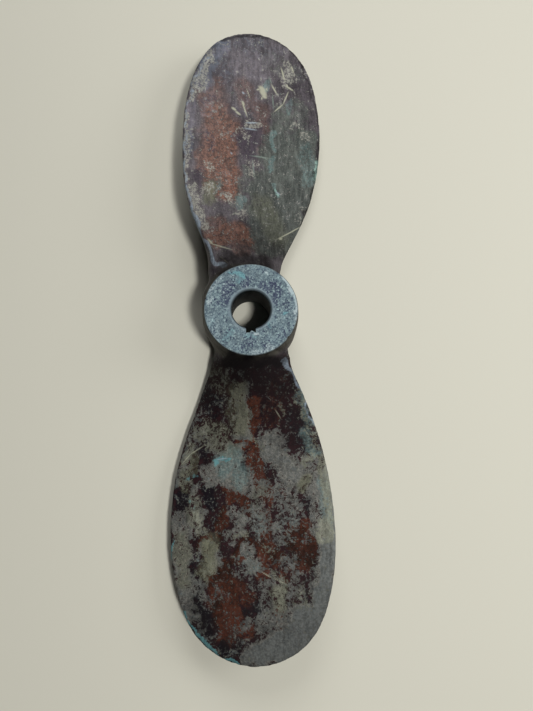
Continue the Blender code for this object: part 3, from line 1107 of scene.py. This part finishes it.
class Graph:
    """A short way to write shader nodes, in which a value is a number, a display tone or a socket."""

    spread: float = 2.4

    def __init__(self, material: bpy.types.Material) -> None:
        """Start with the material's own node tree."""
        self.tree = material.node_tree
        self.place = self.node("TexCoord", {}).outputs["Object"]

    def feed(self, socket: Socket, value: Value) -> None:
        """Link a socket to another, or set its own value.

        Args:
            socket: The socket that is fed.
            value: A socket, a display tone or a number.
        """
        if isinstance(value, bpy.types.NodeSocket):
            self.tree.links.new(value, socket)
        elif isinstance(value, tuple):
            socket.default_value = (*linear(value), 1.0)
        else:
            socket.default_value = value

    def node(self, kind: str, inputs: dict[str | int, Value], **options: object) -> bpy.types.Node:
        """Add a shader node.

        Args:
            kind: The last part of its type's name.
            inputs: A value for each input that isn't left as it comes.
            options: The node's own options.

        Returns:
            The node.
        """
        node = self.tree.nodes.new("ShaderNode" + kind)
        for name, option in options.items():
            setattr(node, name, option)
        for name, value in inputs.items():
            self.feed(node.inputs[name], value)
        return node

    def read(self, layer: Layer) -> Socket:
        """Return a painted layer's strength."""
        return self.node("Attribute", {}, attribute_name=layer.value).outputs["Fac"]

    def noise(self, scale: float, detail: float, roughness: float, shift: float,
              distortion: float = 0.0, stretch: float = 1.0) -> Socket:
        """Return a cloudy noise that spreads from about 0 to 1 round a half.

        Args:
            scale: How many cells fit in a metre.
            detail: How many finer octaves are added.
            roughness: How strong the finer octaves are.
            shift: A place on the fourth axis that makes noises differ.
            distortion: How much the pattern is warped.
            stretch: How many cells lie along the blades for one across them.

        Returns:
            The noise's socket.
        """
        place = self.place
        if stretch != 1.0:
            squeeze = self.node("Mapping", {"Vector": place})
            squeeze.inputs["Scale"].default_value = (1.0, stretch, 1.0)
            place = squeeze.outputs[0]
        shape = {"Scale": scale, "Detail": detail, "Roughness": roughness, "Distortion": distortion}
        cloud = self.node("TexNoise", {"Vector": place, "W": shift, **shape}, noise_dimensions="4D")
        return self.math("MULTIPLY_ADD", cloud.outputs["Fac"], self.spread, 0.5 - 0.5 * self.spread)

    def math(self, operation: str, *values: Value) -> Socket:
        """Return the result of one arithmetic node."""
        return self.node("Math", dict(enumerate(values)), operation=operation).outputs[0]

    def times(self, first: Value, second: Value) -> Socket:
        """Return the product of two numbers."""
        return self.math("MULTIPLY", first, second)

    def ramp(self, value: Value, low: float, high: float, start: float = 0.0, end: float = 1.0) -> Socket:
        """Return a value eased from start at low to end at high."""
        limits = {"Value": value, "From Min": low, "From Max": high, "To Min": start, "To Max": end}
        return self.node("MapRange", limits, interpolation_type="SMOOTHSTEP").outputs["Result"]

    def torn(self, layer: Layer, noise: Socket, gain: float, softness: float) -> Socket:
        """Return a mask with torn edges: a painted layer roughened by noise and cut at a half.

        Args:
            layer: The painted layer.
            noise: The noise that tears the edge.
            gain: How far the noise moves the edge.
            softness: How soft the cut is.

        Returns:
            The mask's socket.
        """
        level = self.read(layer)
        offset = self.math("MULTIPLY_ADD", noise, gain, -0.5 * gain)
        return self.ramp(self.math("ADD", level, offset), 0.5 - softness, 0.5 + softness)

    def mingle(self, share: float, first: Socket, second: Socket) -> Socket:
        """Return two noises added up, of which the first has this share."""
        return self.math("MULTIPLY_ADD", first, share, self.times(second, 1.0 - share))

    def blend(self, share: Value, first: Value, second: Value) -> Socket:
        """Return two colours mixed."""
        return self.node("Mix", {"Factor": share, 6: first, 7: second}, data_type="RGBA").outputs[2]

    def marble(self, noise: Socket, low: float, high: float, first: Value, second: Value) -> Socket:
        """Return a colour that turns from the first at low to the second at high."""
        return self.blend(self.ramp(noise, low, high), first, second)

    def slide(self, share: Value, first: Value, second: Value) -> Socket:
        """Return two numbers mixed."""
        return self.node("Mix", {"Factor": share, 2: first, 3: second}, data_type="FLOAT").outputs[0]


class BronzeCoats(Graph):
    """The coats of old propeller bronze, with painted shade and painted highlights, laid one over the other
    from the bare metal up.

    colour, roughness and height are those of the surface that the coats laid so far make.
    """

    def __init__(self, material: bpy.types.Material) -> None:
        """Write the noises that the coats share, and the tarnished metal under them.

        Args:
            material: The material that the coats make up.
        """
        super().__init__(material)
        self.lower = self.read(Layer.LOWER)
        self.broad = self.noise(42.0, detail=4.0, roughness=0.6, shift=0.11)
        self.tears = self.noise(190.0, detail=8.0, roughness=0.7, shift=0.23, distortion=1.4)
        self.holes = self.noise(560.0, detail=8.0, roughness=0.74, shift=0.37, distortion=0.8)
        self.speck = self.noise(900.0, detail=4.0, roughness=0.75, shift=0.41)
        self.streak = self.noise(520.0, detail=5.0, roughness=0.7, shift=0.71, distortion=0.5, stretch=0.22)
        self.ragged = self.mingle(0.52, self.holes, self.tears)
        self.lacy = self.mingle(0.68, self.holes, self.tears)
        self.tones = self.ramp(self.mingle(0.4, self.streak, self.broad), 0.2, 0.8)
        brown = self.blend(self.tones, (92, 88, 94), (58, 54, 60))
        maroon = self.marble(self.ragged, 0.25, 0.75, (42, 23, 27), (15, 9, 14))
        self.colour = self.blend(self.lower, brown, maroon)
        self.roughness = self.slide(self.lower, 0.42, 0.66)
        self.height = self.times(self.speck, 0.010)

    def shade(self, share: Socket) -> None:
        """Make the surface darker or lighter by a share."""
        inputs = {"Factor": 1.0, 6: self.colour, 7: share}
        self.colour = self.node("Mix", inputs, data_type="RGBA", blend_type="MULTIPLY").outputs[2]

    def cover(self, mask: Socket, colour: Value, roughness: float, share: float = 1.0,
              lift: float | Socket = 0.0) -> None:
        """Lay a film over the surface where its mask says so.

        Args:
            mask: Where the film lies.
            colour: The film's colour.
            roughness: The film's roughness.
            share: How much the film hides where it lies.
            lift: The film's height in millimetres.
        """
        if share != 1.0:
            mask = self.times(mask, share)
        self.colour = self.blend(mask, self.colour, colour)
        self.roughness = self.slide(mask, self.roughness, roughness)
        self.height = self.math("MULTIPLY_ADD", mask, lift, self.height)

    def oxides(self) -> None:
        """Lay bare copper, red oxide and violet stain over the metal."""
        copper = self.torn(Layer.COPPER, self.ragged, gain=0.9, softness=0.55)
        copper_tone = self.marble(self.holes, 0.15, 0.85, (133, 95, 79), (58, 45, 44))
        self.cover(copper, copper_tone, roughness=0.4, share=0.9)
        rust = self.torn(Layer.RUST, self.ragged, gain=2.2, softness=0.16)
        cloudy = self.math("ADD", self.broad, self.times(self.holes, 0.7))
        rust_tone = self.marble(cloudy, 0.55, 1.15, (76, 42, 31), (31, 17, 12))
        self.cover(rust, rust_tone, roughness=0.78, lift=0.01)
        violet = self.torn(Layer.VIOLET, self.ragged, gain=1.7, softness=0.25)
        violet_tone = self.blend(self.lower, (60, 53, 63), (15, 13, 20))
        self.cover(violet, violet_tone, roughness=0.5, share=0.85)

    def patina(self) -> None:
        """Lay the grey-green film, smooth on the upper blade and lacy on the lower."""
        smooth = self.torn(Layer.PATINA, self.ragged, gain=1.5, softness=0.35)
        lacy = self.torn(Layer.PATINA, self.lacy, gain=3.2, softness=0.1)
        patina = self.slide(self.lower, smooth, lacy)
        film = self.blend(self.tones, (88, 93, 90), (62, 67, 66))
        crumbs = self.marble(self.holes, 0.2, 0.85, (122, 122, 117), (63, 66, 68))
        even = self.ramp(self.read(Layer.PATINA), 1.05, 1.3, 0.0, 0.75)
        film = self.blend(self.lower, film, self.blend(even, crumbs, (91, 96, 97)))
        film = self.blend(self.ramp(self.speck, 0.85, 1.1, 0.0, 0.4), film, (130, 132, 122))
        film = self.blend(self.times(self.read(Layer.OLIVE), 0.6), film, (108, 109, 90))
        self.cover(patina, film, roughness=0.6, lift=0.06)

    def films(self) -> None:
        """Lay the thin teal and olive films over the patina, and a pinkish film with painted sheen."""
        teal = self.torn(Layer.TEAL, self.ragged, gain=1.3, softness=0.35)
        self.cover(teal, (102, 127, 128), roughness=0.55, share=0.5)
        olive = self.torn(Layer.OLIVE, self.ragged, gain=1.8, softness=0.35)
        self.cover(olive, (90, 92, 76), roughness=0.6, share=0.4)
        # Pinkish film with painted sheen
        pink_and_sheen = self.torn(Layer.PINK, self.mingle(0.5, self.speck, self.tears), gain=2.4, softness=0.45)
        pink_and_sheen_tone = self.marble(self.broad, 0.3, 0.7, (130, 127, 142), (94, 104, 121))
        self.cover(pink_and_sheen, pink_and_sheen_tone, roughness=0.5, share=0.65, lift=0.01)

    def crusts(self) -> None:
        """Lay pale crust and verdigris over the films, paint highlights along the raised edges, rub the
        edges bare and dust the whole.
        """
        crust = self.torn(Layer.CRUST, self.mingle(0.62, self.speck, self.tears), gain=3.0, softness=0.16)
        upper_crust = self.marble(self.speck, 0.32, 0.68, (78, 80, 82), (177, 177, 169))
        crust_tone = self.blend(self.lower, upper_crust, (132, 135, 122))
        self.cover(crust, crust_tone, roughness=0.85, share=0.75, lift=0.05)
        verdigris = self.torn(Layer.VERDIGRIS, self.ragged, gain=1.3, softness=0.18)
        lower_green = self.blend(self.speck, (50, 94, 105), (122, 178, 182))
        green_tone = self.blend(self.lower, (128, 156, 150), lower_green)
        self.cover(verdigris, green_tone, roughness=0.88, share=0.85, lift=0.05)
        # Painted highlight along the raised edges
        ledge_highlight = self.torn(Layer.LEDGE_HIGHLIGHT, self.ragged, gain=1.2, softness=0.3)
        self.cover(ledge_highlight, (128, 141, 155), roughness=0.5, share=0.85)
        rubbed = self.times(self.read(Layer.EDGE), self.ramp(self.ragged, 0.3, 0.7, 0.1, 0.5))
        self.cover(rubbed, (84, 90, 91), roughness=0.45)
        self.shade(self.ramp(self.mingle(0.65, self.speck, self.streak), 0.26, 0.74, 1.4, 0.62))

    def scratches(self) -> None:
        """Lay the fine pale scratches and spots over the blades."""
        tints = {
            Layer.CREAM_MARK: (176, 178, 160),
            Layer.GREEN_MARK: (120, 134, 128),
            Layer.BLUE_MARK: (150, 163, 176),
        }
        for layer, tint in tints.items():
            self.cover(self.read(layer), tint, roughness=0.8, share=0.85, lift=0.03)

    def hub(self) -> None:
        """Lay the finish of the hub's flank, faces and bore over the rest, with dark root dirt and painted
        shade round the roots, painted highlights on the faces' rims and the bore's mouth, and painted shade
        in the bore.
        """
        mottle = self.noise(240.0, detail=6.0, roughness=0.7, shift=0.17)
        fine = self.noise(1350.0, detail=4.0, roughness=0.66, shift=0.29)
        flank = self.read(Layer.FLANK)
        flank_tone = self.marble(mottle, 0.3, 0.7, (88, 86, 80), (58, 55, 51))
        self.cover(flank, flank_tone, roughness=0.6)
        # Dark grime, partly painted shade at the blades' roots
        grime_and_shade = self.times(self.read(Layer.GRIME_AND_SHADE), self.ramp(mottle, 0.2, 0.8, 0.95, 0.6))
        self.cover(grime_and_shade, (20, 15, 18), roughness=0.75)
        # Painted shade: darker round the hub and towards the lower blade's tip
        self.shade(self.ramp(self.read(Layer.PAINTED_SHADE), 0.0, 1.0, 1.0, 0.55))
        face = self.face(mottle, fine)
        pits = self.ramp(fine, 0.4, 0.1, 0.0, -0.06)
        turned = self.read(Layer.FACE)
        self.cover(turned, face, roughness=0.55, lift=pits)
        # Painted highlight round the rims of the hub's turned faces
        rim = self.times(self.read(Layer.EDGE), self.ramp(mottle, 0.3, 0.7, 0.6, 0.25))
        self.cover(self.times(rim, turned), (146, 160, 164), roughness=0.5)
        # Painted highlight on the bore's chamfered mouth
        self.cover(self.read(Layer.MOUTH), (124, 141, 152), roughness=0.5)
        # Painted shade: the bore's wall is painted near-black
        wall = self.marble(mottle, 0.3, 0.7, (26, 34, 37), (10, 13, 14))
        self.cover(self.read(Layer.BORE), wall, roughness=0.55)

    def face(self, mottle: Socket, fine: Socket) -> Socket:
        """Return the colour of the hub's turned faces.

        Args:
            mottle: The noise of the broad mottling.
            fine: The noise of the flecks.

        Returns:
            The colour's socket.
        """
        face = self.marble(mottle, 0.1, 0.9, (112, 133, 143), (84, 100, 111))
        face = self.blend(self.ramp(fine, 0.55, 0.85, 0.0, 0.8), face, (172, 187, 188))
        face = self.blend(self.ramp(fine, 0.44, 0.15, 0.0, 0.9), face, (38, 45, 62))
        for layer, gain, softness, share, tint in (
            (Layer.STAIN, -2.6, 0.25, 0.68, (44, 45, 80)),
            (Layer.GREEN, 1.4, 0.4, 0.75, (106, 158, 168)),
            # Pale wear spots, and painted highlight along the face's rim
            (Layer.PALE, 0.9, 0.35, 0.7, (184, 200, 206)),
        ):
            spots = self.torn(layer, fine, gain, softness)
            face = self.blend(self.times(spots, share), face, tint)
        return face


@dataclass(frozen=True)
class WeatheredBronze:
    """Old propeller bronze: satin brown metal under patina, oxide, verdigris and dark root dirt, with
    painted shade and painted highlights.
    """

    name: str = "weathered_bronze"
    metal_share: float = 0.03
    gloss: float = 0.14
    bump_height: float = MM

    def material(self) -> bpy.types.Material:
        """Build the material.

        Returns:
            The finished material.
        """
        material = bpy.data.materials.new(self.name)
        material.use_nodes = True
        coats = BronzeCoats(material)
        for lay in (coats.oxides, coats.patina, coats.films, coats.crusts, coats.scratches, coats.hub):
            lay()
        bump = coats.node("Bump", {"Distance": self.bump_height, "Height": coats.height})
        shader = coats.tree.nodes["Principled BSDF"]
        shader.inputs["Metallic"].default_value = self.metal_share
        shader.inputs["Specular IOR Level"].default_value = self.gloss
        coats.feed(shader.inputs["Base Color"], coats.colour)
        coats.feed(shader.inputs["Roughness"], coats.roughness)
        coats.feed(shader.inputs["Normal"], bump.outputs["Normal"])
        return material


@dataclass(frozen=True)
class SoftLight:
    """A square soft light that points at the hub."""

    name: str
    place: Triple
    size: float
    power: float
    colour: Triple = (1.0, 0.98, 0.95)

    def hang(self) -> None:
        """Add the light to the scene."""
        data = bpy.data.lights.new(self.name, "AREA")
        data.shape = "SQUARE"
        data.size = self.size
        data.energy = self.power
        data.color = self.colour
        lamp = bpy.data.objects.new(self.name, data)
        lamp.location = self.place
        lamp.rotation_mode = "QUATERNION"
        lamp.rotation_quaternion = (-Vector(self.place)).to_track_quat("-Z", "Y")
        bpy.context.scene.collection.objects.link(lamp)


@dataclass(frozen=True)
class Studio:
    """A plain pale floor, plain soft light from the right and from above, and the camera.

    turn is the camera's rotation vector and shift the hub's place before it, in tip radii, on axes
    that point right, up and away from the camera.
    """

    floor_colour: Triple = (0.60, 0.60, 0.535)
    floor_size: float = 4.0
    floor_gap: float = 0.05 * MM
    floor_roughness: float = 0.9
    floor_gloss: float = 0.1
    lamps: Sequence[SoftLight] = (
        SoftLight("key_light", (0.32, -0.29, 1.00), 0.14, 7.7, (1.0, 0.97, 0.91)),
        SoftLight("top_fill", (0.0, 0.66, 0.54), 0.45, 3.0),
        SoftLight("side_fill", (0.66, 0.10, 0.46), 0.40, 2.0),
    )
    surround_colour: Triple = (1.0, 0.97, 0.93)
    surround_strength: float = 0.02
    lens: float = 27.04
    sensor: float = 36.0
    clip: Point = (0.005, 20.0)
    turn: Triple = (0.180947, -0.045549, -0.004306)
    shift: Triple = (-0.04957, 0.121456, 1.660342)

    def floor(self) -> None:
        """Build the floor that the casting lies on."""
        select_only()
        bpy.ops.mesh.primitive_plane_add(size=self.floor_size, location=(0.0, 0.0, -self.floor_gap))
        floor = bpy.context.active_object
        floor.name = "floor"
        paint = bpy.data.materials.new("floor_paint")
        paint.use_nodes = True
        shader = paint.node_tree.nodes["Principled BSDF"]
        shader.inputs["Base Color"].default_value = (*self.floor_colour, 1.0)
        shader.inputs["Roughness"].default_value = self.floor_roughness
        shader.inputs["Specular IOR Level"].default_value = self.floor_gloss
        floor.data.materials.append(paint)

    def light(self) -> None:
        """Add the lights and a dim even surround."""
        for lamp in self.lamps:
            lamp.hang()
        world = bpy.data.worlds.new("surround")
        world.use_nodes = True
        sky = world.node_tree.nodes["Background"]
        sky.inputs["Color"].default_value = (*self.surround_colour, 1.0)
        sky.inputs["Strength"].default_value = self.surround_strength
        scene = bpy.context.scene
        scene.world = world
        scene.view_settings.view_transform = "Standard"

    def camera(self, plane: float, unit: float) -> None:
        """Add the camera at the viewing angle of the reference picture.

        Args:
            plane: The height of the blades' middle plane.
            unit: The tip radius, in which the viewpoint is stated.
        """
        turn = Vector(self.turn)
        spin = Matrix.Rotation(turn.length, 3, turn.normalized())
        flip = Vector((1.0, 1.0, -1.0))
        right, up, ahead = [row * flip for row in spin]
        data = bpy.data.cameras.new("viewpoint")
        data.lens = self.lens
        data.sensor_width = self.sensor
        data.clip_start, data.clip_end = self.clip
        camera = bpy.data.objects.new("viewpoint", data)
        basis = Matrix((right, up, -ahead)).transposed().to_4x4()
        place = -(spin.transposed() @ Vector(self.shift))
        basis.translation = place * flip * unit + Vector((0.0, 0.0, plane))
        camera.matrix_world = basis
        bpy.context.scene.collection.objects.link(camera)
        bpy.context.scene.camera = camera


def main() -> None:
    """Build the casting and the studio, and report each piece."""
    logging.basicConfig(level=logging.INFO, format="%(name)s: %(message)s")
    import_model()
    casting = Casting()
    casting.build()
    casting.dress()
    studio = Studio()
    studio.floor()
    studio.light()
    blade = casting.blades()[0]
    studio.camera(blade.plane_share * casting.hub.length, blade.tip_radius)
    LOG.info("floor, %d lights and camera", len(studio.lamps))


if __name__ == "__main__":
    main()
